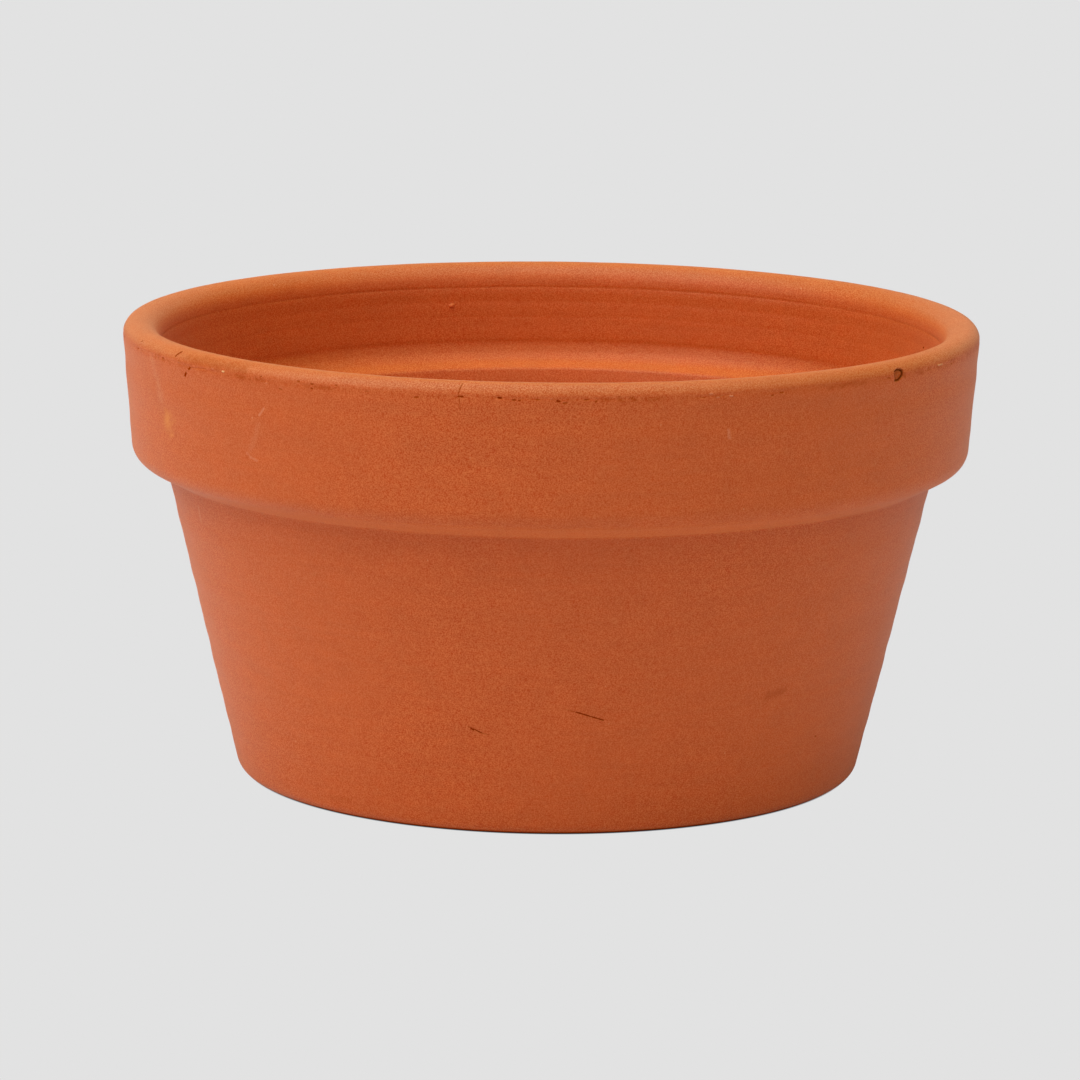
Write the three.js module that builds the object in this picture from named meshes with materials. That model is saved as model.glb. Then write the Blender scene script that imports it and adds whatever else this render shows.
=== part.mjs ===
// A low terracotta flower pot, of the kind sold as a bulb pan or half pot.
//
// The pot is one continuous body of fired clay, so it is one solid: a closed outline turned about
// the vertical axis. The outline runs up the outside from the foot to the lip, down the inside past
// the stacking ledge to the floor, through the drain hole and back along the underside.
//
// Units are millimetres. +Z is up and the origin is the centre of the foot, on the ground.
import * as THREE from "three";

// Outside
const FOOT_RADIUS = 76.5; // where the wall line meets the ground
const HEIGHT = 111.7;
const RIM_RADIUS = 105; // where the collar line meets the top
const COLLAR_HEIGHT = 37.2; // the thick band round the top, down to the crease under it
const COLLAR_LOWER_RADIUS = 102.5;
const UNDERSIDE_RISE = 4.2; // the collar's underside slopes up from the crease
const CREASE_RADIUS = 94; // the wall where the collar overhangs it

// Thickness
const LIP_THICKNESS = 9.1;
const WALL_THICKNESS = 7.4; // just under the ledge
const HEEL_THICKNESS = 9; // the wall where it meets the floor
const FLOOR_THICKNESS = 9;

// Inside: the step that a second pot rests on when pots are stacked
const LEDGE_EDGE_HEIGHT = 85.2;
const LEDGE_SLOPE = THREE.MathUtils.degToRad(25);
const COLLAR_WALL_THICKNESS = 7.8; // at the foot of the collar's inner face

// Underside: a drain hole in a shallow recess, so the pot stands on a ring
const DRAIN_RADIUS = 11;
const RECESS_RADIUS = 50;
const RECESS_DEPTH = 1.5;

// Rounding of each corner
const FOOT_ROUND = 3.5;
const CREASE_ROUND = 1.2;
const COLLAR_ROUND = 4.8;
const LIP_OUTER_ROUND = 3.2;
const LIP_INNER_ROUND = 5.4;
const LEDGE_COVE_ROUND = 6;
const LEDGE_EDGE_ROUND = 1.2;
const HEEL_ROUND = 8;
const DRAIN_ROUND = 1.5;
const RECESS_ROUND = 0.8;

const TURN_SEGMENTS = 72;
const ARC_STEP = THREE.MathUtils.degToRad(15);

// Radius of a straight side at a height, from two points on it.
function radiusOnSide(low, high, z) {
  return THREE.MathUtils.mapLinear(z, low.z, high.z, low.r, high.r);
}

// The outline's corners in order, each a radius r, a height z and the round put on it.
function potCorners() {
  const creaseHeight = HEIGHT - COLLAR_HEIGHT;
  const wallFoot = { r: FOOT_RADIUS, z: 0, round: FOOT_ROUND };
  const crease = { r: CREASE_RADIUS, z: creaseHeight, round: CREASE_ROUND };
  const collarFoot = {
    r: COLLAR_LOWER_RADIUS,
    z: creaseHeight + UNDERSIDE_RISE,
    round: COLLAR_ROUND,
  };
  const lipOutside = { r: RIM_RADIUS, z: HEIGHT, round: LIP_OUTER_ROUND };
  const lipInside = { r: RIM_RADIUS - LIP_THICKNESS, z: HEIGHT, round: LIP_INNER_ROUND };

  const ledgeEdge = {
    r: radiusOnSide(wallFoot, crease, LEDGE_EDGE_HEIGHT) - WALL_THICKNESS,
    z: LEDGE_EDGE_HEIGHT,
    round: LEDGE_EDGE_ROUND,
  };
  const ledgeCoveRadius =
    radiusOnSide(collarFoot, lipOutside, LEDGE_EDGE_HEIGHT) - COLLAR_WALL_THICKNESS;
  const ledgeCove = {
    r: ledgeCoveRadius,
    z: LEDGE_EDGE_HEIGHT + (ledgeCoveRadius - ledgeEdge.r) * Math.tan(LEDGE_SLOPE),
    round: LEDGE_COVE_ROUND,
  };
  const heel = {
    r: radiusOnSide(wallFoot, crease, FLOOR_THICKNESS) - HEEL_THICKNESS,
    z: FLOOR_THICKNESS,
    round: HEEL_ROUND,
  };

  return [
    wallFoot,
    crease,
    collarFoot,
    lipOutside,
    lipInside,
    ledgeCove,
    ledgeEdge,
    heel,
    { r: DRAIN_RADIUS, z: FLOOR_THICKNESS, round: DRAIN_ROUND },
    { r: DRAIN_RADIUS, z: RECESS_DEPTH, round: DRAIN_ROUND },
    { r: RECESS_RADIUS - RECESS_DEPTH, z: RECESS_DEPTH, round: RECESS_ROUND },
    { r: RECESS_RADIUS, z: 0, round: RECESS_ROUND },
  ];
}

// Points of an arc of the given radius that rounds one corner of an outline.
function roundCorner(before, corner, after, radius) {
  const toBefore = before.clone().sub(corner).normalize();
  const toAfter = after.clone().sub(corner).normalize();
  const halfAngle = Math.acos(toBefore.dot(toAfter)) / 2;
  const bisector = toBefore.clone().add(toAfter).normalize();
  const centre = corner.clone().addScaledVector(bisector, radius / Math.sin(halfAngle));
  const start = corner.clone().addScaledVector(toBefore, radius / Math.tan(halfAngle));
  const turn = Math.sign(toBefore.cross(toAfter)) * (2 * halfAngle - Math.PI);
  const steps = Math.ceil(Math.abs(turn) / ARC_STEP);
  return Array.from({ length: steps + 1 }, (_, i) =>
    start.clone().rotateAround(centre, (turn * i) / steps),
  );
}

// A closed outline with every corner rounded: its last point repeats its first.
function roundedOutline(corners) {
  const at = corners.map(({ r, z }) => new THREE.Vector2(r, z));
  const count = corners.length;
  const points = corners.flatMap(({ round }, i) =>
    roundCorner(at[(i + count - 1) % count], at[i], at[(i + 1) % count], round),
  );
  return [...points, points[0]];
}

function buildPot() {
  const geometry = new THREE.LatheGeometry(roundedOutline(potCorners()), TURN_SEGMENTS);
  geometry.rotateX(Math.PI / 2); // LatheGeometry turns about Y
  const clay = new THREE.MeshStandardMaterial({ color: 0xb8592e, roughness: 0.92, metalness: 0 });
  const mesh = new THREE.Mesh(geometry, clay);
  mesh.name = "pot";
  return mesh;
}

const pot = new THREE.Group();
pot.add(buildPot());

export default pot;
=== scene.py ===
"""A low terracotta flower pot on a pale studio floor.

The pot is one turned body of fired clay. The visible mesh follows the CAD outline closely and adds what
the mould, the kiln and handling left on the real thing: rings, a seam under the lip, chips, scratches,
stains and a slightly uneven hand. Lengths are in millimetres until the mesh is made, and azimuths are in
degrees from the front, positive towards the pot's right-hand side as the camera sees it.
"""

import math
import random
from collections import namedtuple

import bmesh
import bpy
import numpy as np
from mathutils import Matrix, Vector, noise


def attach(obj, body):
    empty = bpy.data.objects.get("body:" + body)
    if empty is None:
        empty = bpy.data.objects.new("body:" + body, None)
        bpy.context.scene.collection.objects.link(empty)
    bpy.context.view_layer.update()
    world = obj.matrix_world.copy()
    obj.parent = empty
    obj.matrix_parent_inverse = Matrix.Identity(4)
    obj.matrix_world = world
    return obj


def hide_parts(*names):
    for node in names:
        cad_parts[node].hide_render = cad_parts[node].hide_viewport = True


MM = 0.001

# ---------------------------------------------------------------- outline

# Corners of the outline: radius, height, round, and the mesh step along the stretch that follows.
Corner = namedtuple("Corner", "radius height round step")
FOOT = Corner(76.5, 0.0, 3.5, 1.5)
CREASE = Corner(94.0, 74.5, 1.2, 0.8)
COLLAR_FOOT = Corner(102.5, 78.7, 4.8, 0.9)
LIP_OUTSIDE = Corner(105.0, 111.7, 3.2, 0.3)
LIP_INSIDE = Corner(95.9, 111.7, 5.4, 0.3)
LEDGE_COVE = Corner(95.2, 88.0, 6.0, 0.45)
LEDGE_EDGE = Corner(89.1, 85.2, 1.2, 1.8)
HEEL = Corner(69.6, 9.0, 8.0, 4.0)
DRAIN_TOP = Corner(11.0, 9.0, 1.5, 1.0)
DRAIN_FOOT = Corner(11.0, 1.5, 1.5, 6.0)
RECESS = Corner(48.5, 1.5, 0.8, 1.0)
FOOT_RING = Corner(50.0, 0.0, 0.8, 3.0)
CORNERS = (
    FOOT,
    CREASE,
    COLLAR_FOOT,
    LIP_OUTSIDE,
    LIP_INSIDE,
    LEDGE_COVE,
    LEDGE_EDGE,
    HEEL,
    DRAIN_TOP,
    DRAIN_FOOT,
    RECESS,
    FOOT_RING,
)
LEAN = 0.14  # how far the rim stands to the right of the foot
TURN_SEGMENTS = 360
ARC_STEP = math.radians(8)


def round_corner(before, corner, after, radius):
    """Points of the arc that rounds one corner."""
    to_before = (before - corner).normalized()
    to_after = (after - corner).normalized()
    half = to_before.angle(to_after) / 2
    centre = corner + (to_before + to_after).normalized() * (radius / math.sin(half))
    spoke = corner + to_before * (radius / math.tan(half)) - centre
    turn = math.copysign(math.pi - 2 * half, -to_before.cross(to_after))
    steps = math.ceil(abs(turn) / ARC_STEP)
    return [centre + Matrix.Rotation(turn * i / steps, 2) @ spoke for i in range(steps + 1)]


def outline():
    """The closed outline as (radius, height) points, without repeating the first."""
    at = [Vector((c.radius, c.height)) for c in CORNERS]
    count = len(CORNERS)
    arcs = [
        round_corner(at[i - 1], at[i], at[(i + 1) % count], CORNERS[i].round)
        for i in range(count)
    ]
    points = []
    for i, arc in enumerate(arcs):
        points += arc
        start = arc[-1]
        end = arcs[(i + 1) % count][0]
        parts = max(1, round((end - start).length / CORNERS[i].step))
        points += [start.lerp(end, k / parts) for k in range(1, parts)]
    return np.array(points)


PROFILE = outline()
REACH = np.concatenate([[0.0], np.cumsum(np.hypot(*np.diff(PROFILE, axis=0).T))])
HEIGHT_COUNTS_FIRST = 1000  # the radius only settles which of several equally high points is meant
LIP_TOP = int(np.argmax(PROFILE[:, 1] * HEIGHT_COUNTS_FIRST + PROFILE[:, 0]))
OUTSIDE_END = REACH[LIP_TOP]
LEDGE_INDEX = int(np.argmin(np.hypot(*(PROFILE - (LEDGE_EDGE.radius, LEDGE_EDGE.height)).T)))
PAST_LEDGE = 2.0  # the relief of the collar's inside ends this far beyond the edge of the ledge
INSIDE_END = REACH[LEDGE_INDEX] + PAST_LEDGE


def outside_reach(height):
    """Distance along the outline to a height on the outside."""
    return float(np.interp(height, PROFILE[: LIP_TOP + 1, 1], REACH[: LIP_TOP + 1]))


def inside_reach(height):
    """Distance along the outline to a height on the inner face of the collar."""
    part = slice(LIP_TOP, LEDGE_INDEX + 1)
    return float(np.interp(-height, -PROFILE[part, 1], REACH[part]))


# ---------------------------------------------------------------- marks left by making and handling

# A mark is a stroke from start to end, each an azimuth and a height. depth is how far it is cut into
# the clay, or stands proud where negative. tint names its colour and strength is how much of it shows.
Mark = namedtuple("Mark", "start end half_width depth tint strength inside")


def mark(start, end, half_width, depth=0.0, tint="shade", strength=0.0, inside=False):
    """A mark on the outside, or on the inner face of the collar."""
    return Mark(start, end, half_width, depth, tint, strength, inside)


# Scratches and pits are cut into the clay, and their dark tint is painted shade in the cut
SCRATCHES = (
    mark((2.9, 32.1), (4.7, 31.3), 0.16, depth=0.05, strength=0.35),
    mark((4.6, 31.4), (9.0, 29.3), 0.2, depth=0.14, strength=0.95),
    mark((-12.9, 27.2), (-12.3, 26.8), 0.16, depth=0.06, strength=0.45),
    mark((-12.4, 26.8), (-12.0, 26.3), 0.26, depth=0.16, strength=0.9),
    mark((-12.0, 26.6), (-10.7, 25.7), 0.2, depth=0.14, strength=0.9),
    mark((-10.7, 25.7), (-9.5, 25.3), 0.15, depth=0.06, strength=0.45),
    mark((-11.2, 111.3), (-11.5, 109.4), 0.16, depth=0.1, strength=0.7),
    mark((-11.5, 109.4), (-11.3, 105.4), 0.14, depth=0.05, strength=0.35),
    mark((-57.7, 110.0), (-57.0, 111.1), 0.36, depth=0.08, strength=0.95),
    mark((-55.1, 106.0), (-54.8, 106.7), 0.46, depth=0.1, strength=0.95),
    mark((-54.1, 107.8), (-53.8, 108.1), 0.42, depth=0.08, strength=0.8),
    mark((-53.6, 108.3), (-50.2, 108.8), 0.16, depth=0.04, strength=0.35),
)
PITS = (
    mark((-69.9, 110.3), (-69.6, 110.5), 0.34, depth=0.06, strength=0.5),
    mark((-33.7, 109.3), (-33.4, 109.2), 0.26, depth=0.05, strength=0.55),
    mark((-31.6, 109.0), (-31.3, 109.0), 0.26, depth=0.08, strength=0.75),
    mark((-31.6, 108.0), (-31.4, 108.0), 0.26, depth=0.08, strength=0.75),
    mark((-11.5, 108.6), (-11.0, 108.6), 0.3, depth=0.09, strength=0.85),
    mark((-6.5, 108.6), (-6.1, 108.6), 0.36, depth=0.12, strength=1.0),
    mark((-4.7, 108.2), (-4.4, 108.2), 0.26, depth=0.08, strength=0.8),
    mark((-4.0, 108.1), (-3.8, 108.1), 0.24, depth=0.07, strength=0.8),
    mark((0.8, 108.1), (1.1, 108.0), 0.32, depth=0.1, strength=0.95),
    mark((4.2, 108.4), (4.7, 108.4), 0.24, depth=0.07, strength=0.7),
    mark((52.6, 18.4), (52.8, 18.2), 0.3, depth=0.05, strength=0.6),
    mark((103.5, 101.8), (103.7, 101.7), 0.3, depth=0.08, tint="deep_shade", strength=0.8, inside=True),
)
CRUMBS = (
    mark((60.5, 108.9), (61.8, 108.8), 0.3, depth=-0.15, tint="lime", strength=0.4),
    mark((-46.7, 109.0), (-46.4, 109.0), 0.28, depth=-0.15, tint="lime", strength=1.0),
    mark((22.9, 108.3), (23.2, 108.3), 0.3, depth=-0.15, tint="pale", strength=0.6),
    mark((20.2, 109.1), (20.5, 109.1), 0.26, depth=-0.12, tint="pale", strength=0.5),
    mark((-164.2, 101.3), (-163.9, 101.0), 0.55, depth=-0.5, inside=True),
)
STAINS = (
    mark((-61.0, 93.9), (-60.5, 92.7), 2.7, tint="ochre", strength=0.8),
    mark((-64.8, 107.2), (-62.4, 98.5), 1.8, tint="pale", strength=0.22),
    mark((-39.4, 101.8), (-40.2, 100.0), 0.4, tint="pale", strength=0.45),
    mark((-40.5, 97.8), (-42.2, 91.5), 0.9, tint="pale", strength=0.14),
    mark((-42.9, 90.6), (-42.2, 89.6), 0.5, tint="pale", strength=0.22),
    mark((-42.2, 89.6), (-41.1, 89.1), 0.45, tint="pale", strength=0.3),
    mark((-64.2, 71.3), (-64.7, 67.7), 0.7, tint="pale", strength=0.3),
    mark((22.9, 100.3), (23.1, 98.6), 0.6, tint="pale", strength=0.3),
    mark((38.2, 31.7), (41.5, 32.6), 1.3, strength=0.2),
    mark((-41.5, 4.5), (-36.8, 4.6), 0.9, strength=0.12),
    mark((169.3, 109.7), (171.8, 109.7), 1.0, tint="ochre", strength=0.6),
    mark((-54.0, 110.2), (-43.0, 110.2), 2.2, strength=0.22),
)


# The seam that the mould left all round, just under the lip
SEAM_HEIGHT = 108.5
SEAM_SPREAD = 0.5
SEAM_PITS = 70
SEAM_PIT_DEPTH = 0.07
SEAM_CRUMB_SHARE = 0.2
SEAM_CRUMB_DEPTH = -0.12
SEAM_CRUMB_STRENGTH = 0.7  # against that of a pit
SEAM_SEED = 7


def seam_pits():
    """Pits and crumbs left by the mould, scattered along the seam under the lip."""
    chance = random.Random(SEAM_SEED)
    pits = []
    for _ in range(SEAM_PITS):
        azimuth = chance.uniform(-180, 180)
        height = chance.gauss(SEAM_HEIGHT, SEAM_SPREAD)
        length = chance.uniform(0.05, 0.5)
        stroke = ((azimuth, height), (azimuth + length, height + chance.uniform(-0.15, 0.15)))
        half_width = chance.uniform(0.16, 0.3)
        strength = chance.uniform(0.25, 0.7)
        # pits carry painted shade, crumbs a paler clay
        if chance.random() < SEAM_CRUMB_SHARE:
            strength *= SEAM_CRUMB_STRENGTH
            pits.append(mark(*stroke, half_width, SEAM_CRUMB_DEPTH, "pale", strength))
        else:
            pits.append(mark(*stroke, half_width, SEAM_PIT_DEPTH, "shade", strength))
    return tuple(pits)


MARKS = SCRATCHES + PITS + CRUMBS + STAINS + seam_pits()

# The edge of a mark: where it starts to fade and where it ends, in half widths of the mark, how ragged
# it is, and the size of the lumps that make it so.
Edge = namedtuple("Edge", "start end raggedness lump_size")
SHARP_EDGE = Edge(0.25, 1.0, 0.3, 0.55)
SOFT_EDGE = Edge(0.0, 1.3, 0.7, 1.6)
SOFT_EDGE_FROM = 0.85  # marks with at least this half width are stains, and have the soft edge

# The one large chip, under the lip on the right: a shallow scoop, cut off straight on one side
CHIP_AT = (50.6, 108.85)
CHIP_HALF_SIZE = (2.3, 1.65)
CHIP_DEPTH = 0.7
CHIP_STRAIGHT_SIDE = -1.5
CHIP_SKEW = 0.4

# Painted shade in the cove above the ledge, and painted contact shadow round the edge of the foot
COVE_SHADE_HEIGHT = 90.2
COVE_SHADE_HALF_WIDTH = 1.3
COVE_SHADE_STRENGTH = 0.13
FOOT_SHADE_HEIGHT = 1.2
FOOT_SHADE_STRENGTH = 0.7


def smooth(low, high, x):
    """0 below low, 1 above high, with a smooth rise between."""
    t = np.clip((x - low) / (high - low), 0.0, 1.0)
    return t * t * (3 - 2 * t)


def local(start, azimuth, radius, reach, inside=False):
    """Distances across and along the surface, in mm, from a place given as azimuth and height."""
    from_place = (azimuth - start[0] + 180) % 360 - 180
    home = inside_reach(start[1]) if inside else outside_reach(start[1])
    return np.radians(from_place) * radius, reach - home


def away_from(item, azimuth, radius, reach):
    """Distance of each point of the surface from the line of a mark."""
    across, along = local(item.start, azimuth, radius, reach, item.inside)
    end_reach = inside_reach(item.end[1]) if item.inside else outside_reach(item.end[1])
    end_across, end_along = local(item.start, item.end[0], radius, end_reach, item.inside)
    length_squared = end_across**2 + end_along**2
    t = np.clip((across * end_across + along * end_along) / length_squared, 0, 1)
    return np.hypot(across - t * end_across, along - t * end_along)


def chip_shape(azimuth, radius, reach):
    """How far each point lies inside the large chip, from 0 at its edge, with its place in the chip."""
    across, along = local(CHIP_AT, azimuth, radius, reach)
    skewed = across - CHIP_SKEW * along
    oval = 1 - np.hypot(skewed / CHIP_HALF_SIZE[0], along / CHIP_HALF_SIZE[1])
    straight = (across - CHIP_STRAIGHT_SIDE) / CHIP_HALF_SIZE[0]
    return np.minimum(oval, straight), across, along


# ---------------------------------------------------------------- mesh


def turned_mesh():
    """The outline turned about Z as a closed bmesh, with each vertex's distance along the outline."""
    bm = bmesh.new()
    reach_layer = bm.verts.layers.float.new("reach")
    rings = []
    for (radius, height), reach in zip(PROFILE, REACH):
        ring = []
        for step in range(TURN_SEGMENTS):
            angle = 2 * math.pi * step / TURN_SEGMENTS
            place = Vector((radius * math.sin(angle), -radius * math.cos(angle), height))
            vertex = bm.verts.new(place)
            vertex[reach_layer] = reach
            ring.append(vertex)
        rings.append(ring)
    for ring, above in zip(rings, rings[1:] + rings[:1]):
        for step in range(TURN_SEGMENTS):
            following = (step + 1) % TURN_SEGMENTS
            bm.faces.new((ring[step], ring[following], above[following], above[step]))
    return bm, reach_layer


def surface_places(points):
    """Azimuth in degrees and radius in mm of points."""
    azimuth = np.degrees(np.arctan2(points[:, 0], -points[:, 1]))
    return azimuth, np.hypot(points[:, 0], points[:, 1])


COARSE_SPACING = 1.8  # of the vertices round the rim
REFINE_LEVELS = 4
FINE_ENOUGH = 0.7  # spacing that holds the shape of a mark, against the mark's half width


def refine_near_marks(bm, reach_layer):
    """Splits faces near small marks until the mesh is fine enough to hold their shape."""
    for level in range(REFINE_LEVELS):
        spacing = COARSE_SPACING / 2**level
        faces = list(bm.faces)
        middles = np.array([f.calc_center_median() for f in faces])
        reaches = np.array([f.verts[0][reach_layer] for f in faces])
        azimuth, radius = surface_places(middles)
        wanted = np.zeros(len(faces), bool)
        for item in MARKS:
            if spacing > item.half_width * FINE_ENOUGH:
                gap = away_from(item, azimuth, radius, reaches)
                wanted |= gap < item.half_width + spacing * 0.9
        across, along = local(CHIP_AT, azimuth, radius, reaches)
        wanted |= np.hypot(across, along) < 1.2 * max(CHIP_HALF_SIZE) + spacing * 0.7
        chosen = {edge for face, want in zip(faces, wanted) if want for edge in face.edges}
        bmesh.ops.subdivide_edges(bm, edges=list(chosen), cuts=1, use_grid_fill=True)


def perlin(points, size):
    """Smooth noise, about -1 to 1, whose lumps are about size mm across."""
    return np.array([noise.noise(Vector(p) / size) for p in points])


def ridge(height, centre, half_width):
    """1 at a height and falling smoothly to 0 above and below it."""
    return np.exp(-(((height - centre) / half_width) ** 2))


DRAWN_UP = (1, 1, 0.2)  # for noise that varies round the pot much more than up it

# Waves up the outside: rise, mm to the radian, phase, and how much they waver round the pot
TURNED_WAVES = ((0.05, 1.9, 0.0, 0.8), (0.04, 1.13, 1.7, 0.0))
WAVES_START = (4, 12)
WAVES_STOP = (70, 74)  # below the crease
WAVES_START_AGAIN = (84, 88)  # above the round at the collar's foot
FOOT_BAND_DEPTH = 0.1  # the foot is pressed in by this much
FOOT_BAND_END = (14, 21)

# A ring round the inner face of the collar: height, how far it wanders up and down, half width, and
# how far it stands proud, or is cut in where negative.
Ring = namedtuple("Ring", "height wander half_width rise")
COLLAR_GROOVES = (
    Ring(91.2, 0.15, 0.5, -0.3),
    Ring(105.8, 0.1, 0.24, -0.16),
    Ring(106.8, 0.2, 0.26, -0.12),
    Ring(102.0, 0.2, 0.7, -0.07),
)
COLLAR_SWELLS = (
    Ring(104.3, 0.0, 0.8, 0.06),
    Ring(94.0, 0.0, 1.2, 0.05),
    Ring(98.0, 0.4, 0.5, -0.05),
)


def outside_relief(height, points):
    """Mould rings and the seam under the lip, on the outside."""
    wander = perlin(points * DRAWN_UP, 26.0)
    relief = 0.0
    for rise, pitch, phase, waver in TURNED_WAVES:
        wave = rise * np.sin(height / pitch + phase + waver * wander)
        relief = relief + wave * smooth(*WAVES_START, height)
    relief *= 1 - smooth(*WAVES_STOP, height) * (1 - smooth(*WAVES_START_AGAIN, height))
    relief -= FOOT_BAND_DEPTH * (1 - smooth(*FOOT_BAND_END, height))
    relief += 0.05 * ridge(height, 95.8, 1.8) - 0.04 * ridge(height, 91.5, 1.6)
    ragged = 0.5 + 0.5 * perlin(points, 3.2)
    seam = ridge(height, SEAM_HEIGHT + 0.15 * wander, 0.35)
    return relief - 0.09 * seam * (0.35 + ragged)


def inside_relief(height, points):
    """Grooves and swellings on the inner face of the collar."""
    wander = perlin(points * DRAWN_UP, 30.0)
    unevenness = 1 + 0.5 * perlin(points * DRAWN_UP, 14.0)
    relief = 0.0
    for ring in COLLAR_GROOVES:
        shape = ridge(height, ring.height + ring.wander * wander, ring.half_width)
        relief = relief + ring.rise * shape * unevenness
    for ring in COLLAR_SWELLS:
        relief += ring.rise * ridge(height, ring.height + ring.wander * wander, ring.half_width)
    return relief


# Every vertex of the pot: where it lies, and which part of the surface it is on.
Surface = namedtuple("Surface", "points azimuth radius height reach outside collar_inside inner_wall")
LUMPS = ((0.07, 38.0), (0.03, 9.0), (0.02, 2.8))  # rise and size of the lumps in a hand-finished wall
UNDERSIDE_END = 1.6  # just above the recess under the foot
RELIEF_FADE = 2.5  # the relief fades out over this height, so that the foot stands flat


def read_surface(bm, reach_layer):
    """Arrays of all vertices, in the terms that the marks use."""
    points = np.array([v.co for v in bm.verts])
    reach = np.array([v[reach_layer] for v in bm.verts])
    azimuth, radius = surface_places(points)
    height = points[:, 2]
    outside = reach < OUTSIDE_END
    collar_inside = (reach >= OUTSIDE_END) & (reach < INSIDE_END)
    inner_wall = (reach >= INSIDE_END) & (height > UNDERSIDE_END)
    return Surface(points, azimuth, radius, height, reach, outside, collar_inside, inner_wall)


def turned_relief(clay):
    """How far the clay stands out from the outline before any mark is made in it."""
    relief = sum(rise * perlin(clay.points, size) for rise, size in LUMPS)
    relief += np.where(clay.outside, outside_relief(clay.height, clay.points), 0)
    relief += np.where(clay.collar_inside, inside_relief(clay.height, clay.points), 0)
    wall_rings = 0.09 * np.sin(clay.height / 1.4) * smooth(12, 20, clay.height)
    relief += np.where(clay.inner_wall, wall_rings, 0)
    return relief


def dirty_seam(clay, tints):
    """Dirt in the seam under the lip, in patches."""
    wander = perlin(clay.points, 1.6)
    seam = ridge(clay.height, SEAM_HEIGHT + 0.5 * wander, 0.7) * clay.outside
    patchy = smooth(-0.2, 0.35, perlin(clay.points, 16.0))
    broken = smooth(-0.35, 0.5, perlin(clay.points, 1.1))
    tints["shade"] += (0.1 + 0.25 * patchy) * seam * broken


def press_marks(clay, relief, tints):
    """Cuts every mark into the relief, and colours it."""
    lumps = {edge: perlin(clay.points, edge.lump_size) for edge in (SHARP_EDGE, SOFT_EDGE)}
    for item in MARKS:
        edge = SOFT_EDGE if item.half_width >= SOFT_EDGE_FROM else SHARP_EDGE
        same_side = clay.collar_inside if item.inside else clay.outside
        gap = away_from(item, clay.azimuth, clay.radius, clay.reach) / item.half_width
        near = (1 - smooth(edge.start, edge.end, gap + edge.raggedness * lumps[edge])) * same_side
        relief -= item.depth * near
        tints[item.tint] = np.maximum(tints[item.tint], item.strength * near)


def shade_cove_and_foot(clay, tints):
    """Painted shade in the cove above the ledge, and painted contact shadow round the edge of the foot.
    """
    # painted shade in the cove above the ledge
    cove = ridge(clay.height, COVE_SHADE_HEIGHT, COVE_SHADE_HALF_WIDTH) * clay.collar_inside
    tints["shade"] = np.maximum(tints["shade"], COVE_SHADE_STRENGTH * cove)
    # painted shade on the foot's lowest band, where it turns under towards the floor
    low = clay.outside * (1 - smooth(0.3 * FOOT_SHADE_HEIGHT, FOOT_SHADE_HEIGHT, clay.height))
    tints["shade"] = np.maximum(tints["shade"], FOOT_SHADE_STRENGTH * low)
    # near-black painted contact shadow at the very edge of the foot
    edge = clay.outside * (1 - smooth(0.15 * FOOT_SHADE_HEIGHT, 0.6 * FOOT_SHADE_HEIGHT, clay.height))
    tints["deep_shade"] = np.maximum(tints["deep_shade"], edge)


def press_chip(clay, relief, tints):
    """Scoops out the large chip and paints shade into it, most of all round its rim."""
    rough = perlin(clay.points, SHARP_EDGE.lump_size)
    inside_chip, across, along = chip_shape(clay.azimuth, clay.radius, clay.reach)
    inside_chip = (inside_chip + 0.1 * rough) * clay.outside
    scoop = smooth(0.0, 0.2, inside_chip)
    slant = 0.75 + 0.25 * along / CHIP_HALF_SIZE[1] - 0.2 * across / CHIP_HALF_SIZE[0]
    relief -= CHIP_DEPTH * scoop * (slant + 0.25 * rough)
    # painted shade in the chip, darkest round its rim
    rim = 1 - smooth(0.12, 0.42, inside_chip)
    tints["deep_shade"] = np.maximum(tints["deep_shade"], scoop * (0.22 + 0.7 * rim))


def deform(bm, reach_layer):
    """Moves every vertex along its normal by the relief there, and returns how each is coloured."""
    bm.normal_update()
    normals = np.array([v.normal for v in bm.verts])
    clay = read_surface(bm, reach_layer)
    relief = turned_relief(clay)
    tints = {name: np.zeros(len(relief)) for name in TINT_COLOURS}
    dirty_seam(clay, tints)
    press_marks(clay, relief, tints)
    shade_cove_and_foot(clay, tints)
    press_chip(clay, relief, tints)

    faded = relief * smooth(0.0, RELIEF_FADE, clay.height)
    moved = clay.points + normals * faded[:, None]
    moved[:, 0] += LEAN * clay.height / LIP_OUTSIDE.height
    for vertex, place in zip(bm.verts, moved):
        vertex.co = place * MM
    return tints


def build_pot():
    """The visible pot, with one attribute for each tint."""
    bm, reach_layer = turned_mesh()
    refine_near_marks(bm, reach_layer)
    tints = deform(bm, reach_layer)
    bm.verts.layers.float.remove(reach_layer)
    mesh = bpy.data.meshes.new("clay_pot")
    bm.to_mesh(mesh)
    bm.free()
    for name, values in tints.items():
        attribute = mesh.attributes.new(name, "FLOAT", "POINT")
        attribute.data.foreach_set("value", values.astype(np.float32))
    mesh.shade_smooth()
    pot = bpy.data.objects.new("clay_pot", mesh)
    bpy.context.scene.collection.objects.link(pot)
    return pot


# ---------------------------------------------------------------- materials


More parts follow.
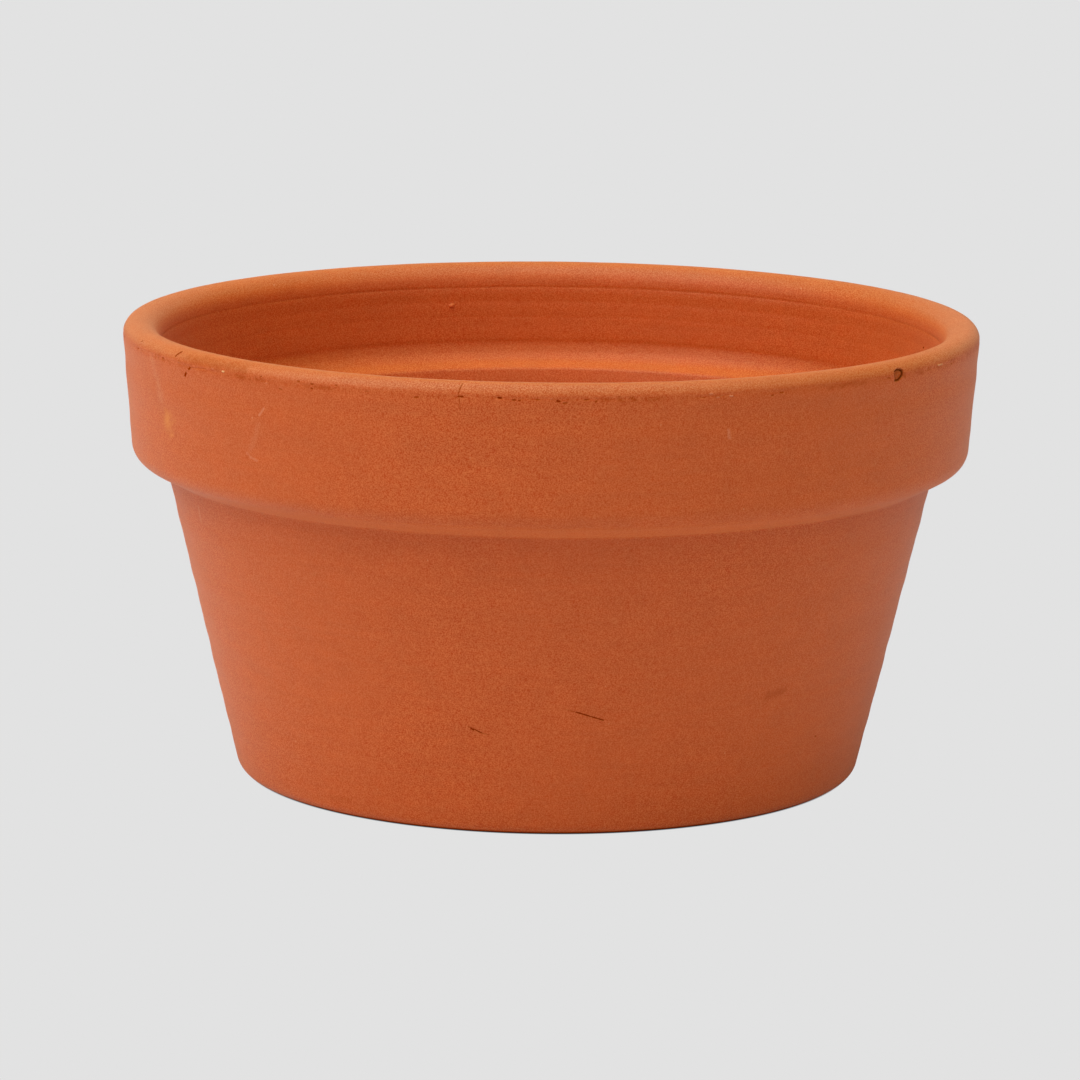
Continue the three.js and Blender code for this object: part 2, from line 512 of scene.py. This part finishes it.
class Nodes:
    """Adds shader nodes to one tree.

    An input is a value or another node's output socket. Sockets go by name, or by number where several
    share a name.
    """

    def __init__(self, tree):
        tree.nodes.clear()
        self.tree = tree

    def add(self, kind, inputs=None, output=0, **settings):
        node = self.tree.nodes.new(kind)
        for name, value in settings.items():
            setattr(node, name, value)
        for name, value in (inputs or {}).items():
            if isinstance(value, bpy.types.NodeSocket):
                self.tree.links.new(value, node.inputs[name])
            else:
                node.inputs[name].default_value = value
        return node.outputs[output] if len(node.outputs) else None

    def noise(self, place, size, detail=2.0, roughness=0.5):
        """Noise from 0 to 1 whose lumps are about size mm across."""
        scale = 1 / (size * MM)
        settings = {"Vector": place, "Scale": scale, "Detail": detail, "Roughness": roughness}
        return self.add("ShaderNodeTexNoise", settings)

    def remap(self, value, low, high, to_low=0.0, to_high=1.0):
        """Rises from to_low to to_high as the value goes from low to high, and stays within them."""
        settings = {"Value": value, "From Min": low, "From Max": high}
        settings.update({"To Min": to_low, "To Max": to_high})
        return self.add("ShaderNodeMapRange", settings)

    def math(self, operation, first, second=0.0):
        return self.add("ShaderNodeMath", {0: first, 1: second}, operation=operation)

    def axis(self, vector, name):
        """One coordinate of a vector."""
        return self.add("ShaderNodeSeparateXYZ", {"Vector": vector}, output=name)

    def mix(self, factor, first, second, blend="MIX"):
        """Mixes two colours."""
        inputs = {0: factor, 6: first, 7: second}
        settings = {"data_type": "RGBA", "blend_type": blend}
        return self.add("ShaderNodeMix", inputs, output=2, **settings)

    def attribute(self, name):
        """A value kept at each vertex of the mesh."""
        return self.add("ShaderNodeAttribute", output="Fac", attribute_name=name)

    def bump(self, height, distance, strength, normal=None):
        """Bump whose full height is distance mm, on top of another where a normal is given."""
        inputs = {"Height": height, "Distance": distance * MM, "Strength": strength}
        if normal is not None:
            inputs["Normal"] = normal
        return self.add("ShaderNodeBump", inputs)


# Linear colours of the clay itself, of what lies on it, and of the painted shade in its marks
CLAY_GRAIN_DARK = (0.595, 0.070, 0.001, 1)
CLAY_GRAIN_PALE = (0.735, 0.172, 0.022, 1)
CLAY_PINK = (0.665, 0.126, 0.0145, 1)
CLAY_DUST = (0.88, 1.0, 0.78, 1)
SAND = (0.78, 0.36, 0.13, 1)
TINT_COLOURS = {
    "pale": (0.76, 0.32, 0.15, 1),
    "ochre": (0.80, 0.26, 0.03, 1),
    "lime": (0.90, 0.60, 0.25, 1),
    # painted shade in scratches, pits, the cove and round the foot, and also the colour of dirt in
    # stains and in the seam
    "shade": (0.29, 0.021, 0.001, 1),
    # near-black painted shade: round the chip's rim, in a pit inside the collar, and the contact shadow
    # at the foot's edge
    "deep_shade": (0.045, 0.003, 0.001, 1),
}

# Painted light: what the clay's colour is multiplied by where it faces up, as light from above, and a
# painted sheen on the lip and at the lip's two sides
PAINTED_LIGHT_FACING_UP = (1.07, 1.30, 1.15, 1)
PAINTED_SHEEN_ON_LIP = (0.96, 1.12, 2.1, 1)
PAINTED_SHEEN_ON_LIP_SIDES = (0.96, 1.27, 4.0, 1)
FACING_UP = (0.15, 0.6)  # from where to where the normal's upward part counts
LIP_FROM = (108.6, 110.2)  # from where to where the painted sheen on the lip sets in
LIP_SIDES_FROM = (84, 101)  # the same for the lip's sides, by distance from the middle

# Sizes of the clay's features
GRAIN_SIZE = 0.3
GRAIN_CONTRAST = (0.36, 0.64)  # from where to where the noise of the grain counts
BLOTCH_SIZE = 7.0
BLOOM_SIZE = 45.0
STREAK_SIZE = 1.6
STREAK_STRETCH = (0.06, 0.06, 1.0)
SAND_SPACING = 1.5
SAND_PATCH_SIZE = 1.7
SAND_SHOWS = 0.45
PORE_SIZE = 1.1
GRAIN_BUMP = 0.035
PORE_BUMP = 0.03
STREAK_BUMP = 0.05
DIRT_AND_SHADE_HIDE_GLOSS = 0.5  # strength of the dirt and painted shade at which the clay has no gloss or dust left


def clay_colour(nodes, place, grain, streak):
    """A sandy grain with blooms of paler clay, faint turning streaks and specks of sand."""
    blotch = nodes.noise(place, BLOTCH_SIZE, detail=4.0, roughness=0.6)
    bloom = nodes.noise(place, BLOOM_SIZE, detail=3.0)
    base = nodes.mix(nodes.remap(grain, *GRAIN_CONTRAST), CLAY_GRAIN_DARK, CLAY_GRAIN_PALE)
    base = nodes.mix(nodes.remap(bloom, 0.35, 0.7, 0.0, 0.5), base, CLAY_PINK)
    tone = nodes.math(
        "MULTIPLY",
        nodes.remap(blotch, 0.3, 0.7, 0.975, 1.025),
        nodes.remap(streak, 0.3, 0.7, 0.98, 1.02),
    )
    base = nodes.mix(1.0, base, tone, blend="MULTIPLY")

    scale = 1 / (SAND_SPACING * MM)
    sand = nodes.add("ShaderNodeTexVoronoi", {"Vector": place, "Scale": scale}, feature="F1")
    sand_size = nodes.noise(place, SAND_PATCH_SIZE, detail=0.0)
    speck = nodes.math("LESS_THAN", sand, nodes.remap(sand_size, 0.66, 0.9, 0.0, 0.2))
    return nodes.mix(nodes.math("MULTIPLY", speck, SAND_SHOWS), base, SAND)


def with_painted_light(nodes, place, base):
    """The clay's colour with painted light: lighter where it faces up, and a painted sheen on the lip,
    strongest at its two sides.
    """
    normal = nodes.add("ShaderNodeNewGeometry", output="Normal")
    facing_up = nodes.remap(nodes.axis(normal, "Z"), *FACING_UP)
    lit_from_above = nodes.mix(1.0, base, PAINTED_LIGHT_FACING_UP, blend="MULTIPLY")
    base = nodes.mix(facing_up, base, lit_from_above)

    low, high = LIP_FROM
    on_lip = nodes.remap(nodes.axis(place, "Z"), low * MM, high * MM)
    low, high = LIP_SIDES_FROM
    at_sides = nodes.remap(nodes.math("ABSOLUTE", nodes.axis(place, "X")), low * MM, high * MM)
    lip_sheen = nodes.mix(at_sides, PAINTED_SHEEN_ON_LIP, PAINTED_SHEEN_ON_LIP_SIDES)
    with_lip_sheen = nodes.mix(1.0, base, lip_sheen, blend="MULTIPLY")
    return nodes.mix(on_lip, base, with_lip_sheen)


def clay_bump(nodes, place, grain, streak):
    """Fine relief of the grain, the pores between its grains, and the turning streaks."""
    grit = nodes.bump(grain, GRAIN_BUMP, 0.6)
    pores = nodes.remap(nodes.noise(place, PORE_SIZE), 0.28, 0.42)
    porous = nodes.bump(pores, PORE_BUMP, 0.5, normal=grit)
    return nodes.bump(streak, STREAK_BUMP, 0.5, normal=porous)


def clay_material():
    """Dry, unglazed terracotta, coloured by the tints of the marks, some of them painted shade, and by
    painted light and sheen.
    """
    material = bpy.data.materials.new("terracotta")
    material.use_nodes = True
    nodes = Nodes(material.node_tree)
    place = nodes.add("ShaderNodeTexCoord", output="Object")
    streak_place = nodes.add("ShaderNodeMapping", {"Vector": place, "Scale": STREAK_STRETCH})
    grain = nodes.noise(place, GRAIN_SIZE, detail=1.0, roughness=0.7)
    streak = nodes.noise(streak_place, STREAK_SIZE, detail=3.0, roughness=0.6)

    base = with_painted_light(nodes, place, clay_colour(nodes, place, grain, streak))
    tints = {name: nodes.attribute(name) for name in TINT_COLOURS}
    for name, colour in TINT_COLOURS.items():
        base = nodes.mix(tints[name], base, colour)
    # dirt and painted shade take away the gloss and the dust's sheen
    dirt_and_shade = nodes.math("MAXIMUM", tints["shade"], tints["deep_shade"])
    clean_and_unshaded = nodes.remap(dirt_and_shade, 0.0, DIRT_AND_SHADE_HIDE_GLOSS, 1.0, 0.0)
    gloss = nodes.math("MULTIPLY", clean_and_unshaded, nodes.remap(grain, *GRAIN_CONTRAST, 0.2, 0.5))
    dust = nodes.math("MULTIPLY", clean_and_unshaded, nodes.remap(grain, *GRAIN_CONTRAST, 0.05, 0.15))

    surface = nodes.add(
        "ShaderNodeBsdfPrincipled",
        {
            "Base Color": base,
            "Roughness": nodes.remap(grain, 0.3, 0.7, 0.5, 0.6),
            "Diffuse Roughness": 0.9,
            "Specular IOR Level": gloss,
            "Sheen Weight": dust,
            "Sheen Roughness": 0.5,
            "Sheen Tint": CLAY_DUST,
            "Normal": clay_bump(nodes, place, grain, streak),
        },
    )
    nodes.add("ShaderNodeOutputMaterial", {"Surface": surface})
    return material


BACKDROP = (0.7605, 0.7605, 0.7605, 1)
PAPER = (0.8, 0.8, 0.8, 1)
SHADOW_RADIUS = 75.2
SHADOW_TONE = 0.06  # of the backdrop's brightness
SHADOW_FULL_FROM = 0.99  # of its radius


def floor_material():
    """Pale seamless paper: it lights the pot as paper does, and looks the same as the backdrop.

    Only the paper under the pot is dark: a fine line round the foot, and through the drain hole.
    """
    material = bpy.data.materials.new("studio_paper")
    material.use_nodes = True
    nodes = Nodes(material.node_tree)
    seen = nodes.add("ShaderNodeLightPath", output="Is Camera Ray")
    paper = nodes.add("ShaderNodeBsdfDiffuse", {"Color": PAPER})
    place = nodes.add("ShaderNodeTexCoord", output="Object")
    from_axis = nodes.add("ShaderNodeVectorMath", {0: place}, output="Value", operation="LENGTH")
    edge = SHADOW_RADIUS * MM
    shadow = nodes.remap(from_axis, SHADOW_FULL_FROM * edge, edge, SHADOW_TONE, 1.0)
    even = nodes.add("ShaderNodeEmission", {"Color": BACKDROP, "Strength": shadow})
    surface = nodes.add("ShaderNodeMixShader", {0: seen, 1: paper, 2: even})
    nodes.add("ShaderNodeOutputMaterial", {"Surface": surface})
    return material


# ---------------------------------------------------------------- studio


def build_floor(radius=4.0, sides=96):
    """A round floor, in metres, far wider than the picture."""
    bm = bmesh.new()
    bmesh.ops.create_circle(bm, cap_ends=True, segments=sides, radius=radius)
    mesh = bpy.data.meshes.new("studio_floor")
    bm.to_mesh(mesh)
    bm.free()
    floor = bpy.data.objects.new("studio_floor", mesh)
    floor.data.materials.append(floor_material())
    bpy.context.scene.collection.objects.link(floor)
    return floor


FILL_FROM_FRONT = 0.77
FILL_FROM_BEHIND = 0.222


def lobe(nodes, towards, strength):
    """Light that is strongest from one side and fades to nothing at right angles to it."""
    squared = nodes.math("POWER", nodes.math("MAXIMUM", towards, 0.0), 2.0)
    return nodes.math("MULTIPLY", squared, strength)


def build_world():
    """Soft light from in front and behind, seen by the camera as a backdrop of one pale grey."""
    world = bpy.data.worlds.new("studio")
    bpy.context.scene.world = world
    world.use_nodes = True
    nodes = Nodes(world.node_tree)
    depth = nodes.axis(nodes.add("ShaderNodeTexCoord", output="Generated"), "Y")
    from_front = lobe(nodes, nodes.math("MULTIPLY", depth, -1.0), FILL_FROM_FRONT)
    from_behind = lobe(nodes, depth, FILL_FROM_BEHIND)
    strength = nodes.math("ADD", from_front, from_behind)
    seen = nodes.add("ShaderNodeLightPath", output="Is Camera Ray")
    fill_light = nodes.add("ShaderNodeBackground", {"Color": (1, 1, 1, 1), "Strength": strength})
    even = nodes.add("ShaderNodeBackground", {"Color": BACKDROP, "Strength": 1.0})
    surface = nodes.add("ShaderNodeMixShader", {0: seen, 1: fill_light, 2: even})
    nodes.add("ShaderNodeOutputWorld", {"Surface": surface})


def direction(azimuth, elevation):
    """Unit vector from the pot towards an azimuth and elevation."""
    flat = math.cos(math.radians(elevation))
    a = math.radians(azimuth)
    return Vector((math.sin(a) * flat, -math.cos(a) * flat, math.sin(math.radians(elevation))))


LIGHT_SIZE = 0.9
LIGHT_DISTANCE = 1.4
LIGHT_AIM_HEIGHT = 0.06

# Name, azimuth, elevation and power in watts
SOFT_LIGHTS = (
    ("key", -50, 50, 5.6),
    ("left", -75, 35, 4.5),
    ("high_left", -80, 60, 3.4),
    ("top", 0, 89, 6.8),
    ("high_back", 180, 65, 0.9),
    ("right", 50, 50, 3.6),
)


def soft_light(name, azimuth, elevation, power):
    """A square softbox aimed at the pot, and hidden from the camera."""
    data = bpy.data.lights.new(name, "AREA")
    data.shape = "SQUARE"
    data.size = LIGHT_SIZE
    data.energy = power
    light = bpy.data.objects.new(name, data)
    towards = direction(azimuth, elevation)
    light.location = towards * LIGHT_DISTANCE + Vector((0, 0, LIGHT_AIM_HEIGHT))
    light.rotation_mode = "QUATERNION"
    light.rotation_quaternion = towards.to_track_quat("Z", "Y")
    light.visible_camera = False
    bpy.context.scene.collection.objects.link(light)


def build_lights():
    build_world()
    for light in SOFT_LIGHTS:
        soft_light(*light)


# The camera looks slightly down from the front, through a long lens, and is held a touch askew. Its
# distance and aim are in metres, its lens in mm, and its angles in degrees.
CAMERA_DISTANCE = 1.3078
CAMERA_ELEVATION = 10.823
CAMERA_LENS = 176.33
SENSOR_WIDTH = 36.0
CAMERA_AIM_HEIGHT = 0.055
CAMERA_YAW = 0.096
CAMERA_PITCH = 0.052
CAMERA_ROLL = 0.548


def build_camera():
    data = bpy.data.cameras.new("camera")
    data.sensor_width = SENSOR_WIDTH
    data.lens = CAMERA_LENS
    camera = bpy.data.objects.new("camera", data)
    back = direction(0, CAMERA_ELEVATION)
    facing = back.to_track_quat("Z", "Y").to_matrix()
    yaw = Matrix.Rotation(math.radians(CAMERA_YAW), 3, "Y")
    pitch = Matrix.Rotation(math.radians(CAMERA_PITCH), 3, "X")
    roll = Matrix.Rotation(math.radians(CAMERA_ROLL), 3, "Z")
    turned = (facing @ yaw @ pitch @ roll).to_4x4()
    aim = Vector((0, 0, CAMERA_AIM_HEIGHT))
    camera.matrix_world = Matrix.Translation(aim + back * CAMERA_DISTANCE) @ turned
    bpy.context.scene.collection.objects.link(camera)
    bpy.context.scene.camera = camera


# ---------------------------------------------------------------- scene

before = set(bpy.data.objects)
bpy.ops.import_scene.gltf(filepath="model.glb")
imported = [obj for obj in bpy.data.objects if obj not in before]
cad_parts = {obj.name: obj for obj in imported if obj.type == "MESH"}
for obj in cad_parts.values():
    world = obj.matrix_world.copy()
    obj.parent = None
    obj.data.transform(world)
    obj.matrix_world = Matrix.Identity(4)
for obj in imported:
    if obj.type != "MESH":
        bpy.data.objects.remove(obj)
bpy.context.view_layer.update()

pot = build_pot()
pot.data.materials.append(clay_material())
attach(pot, "root")
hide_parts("pot")

floor = build_floor()
build_lights()
build_camera()
bpy.context.scene.view_settings.view_transform = "Standard"
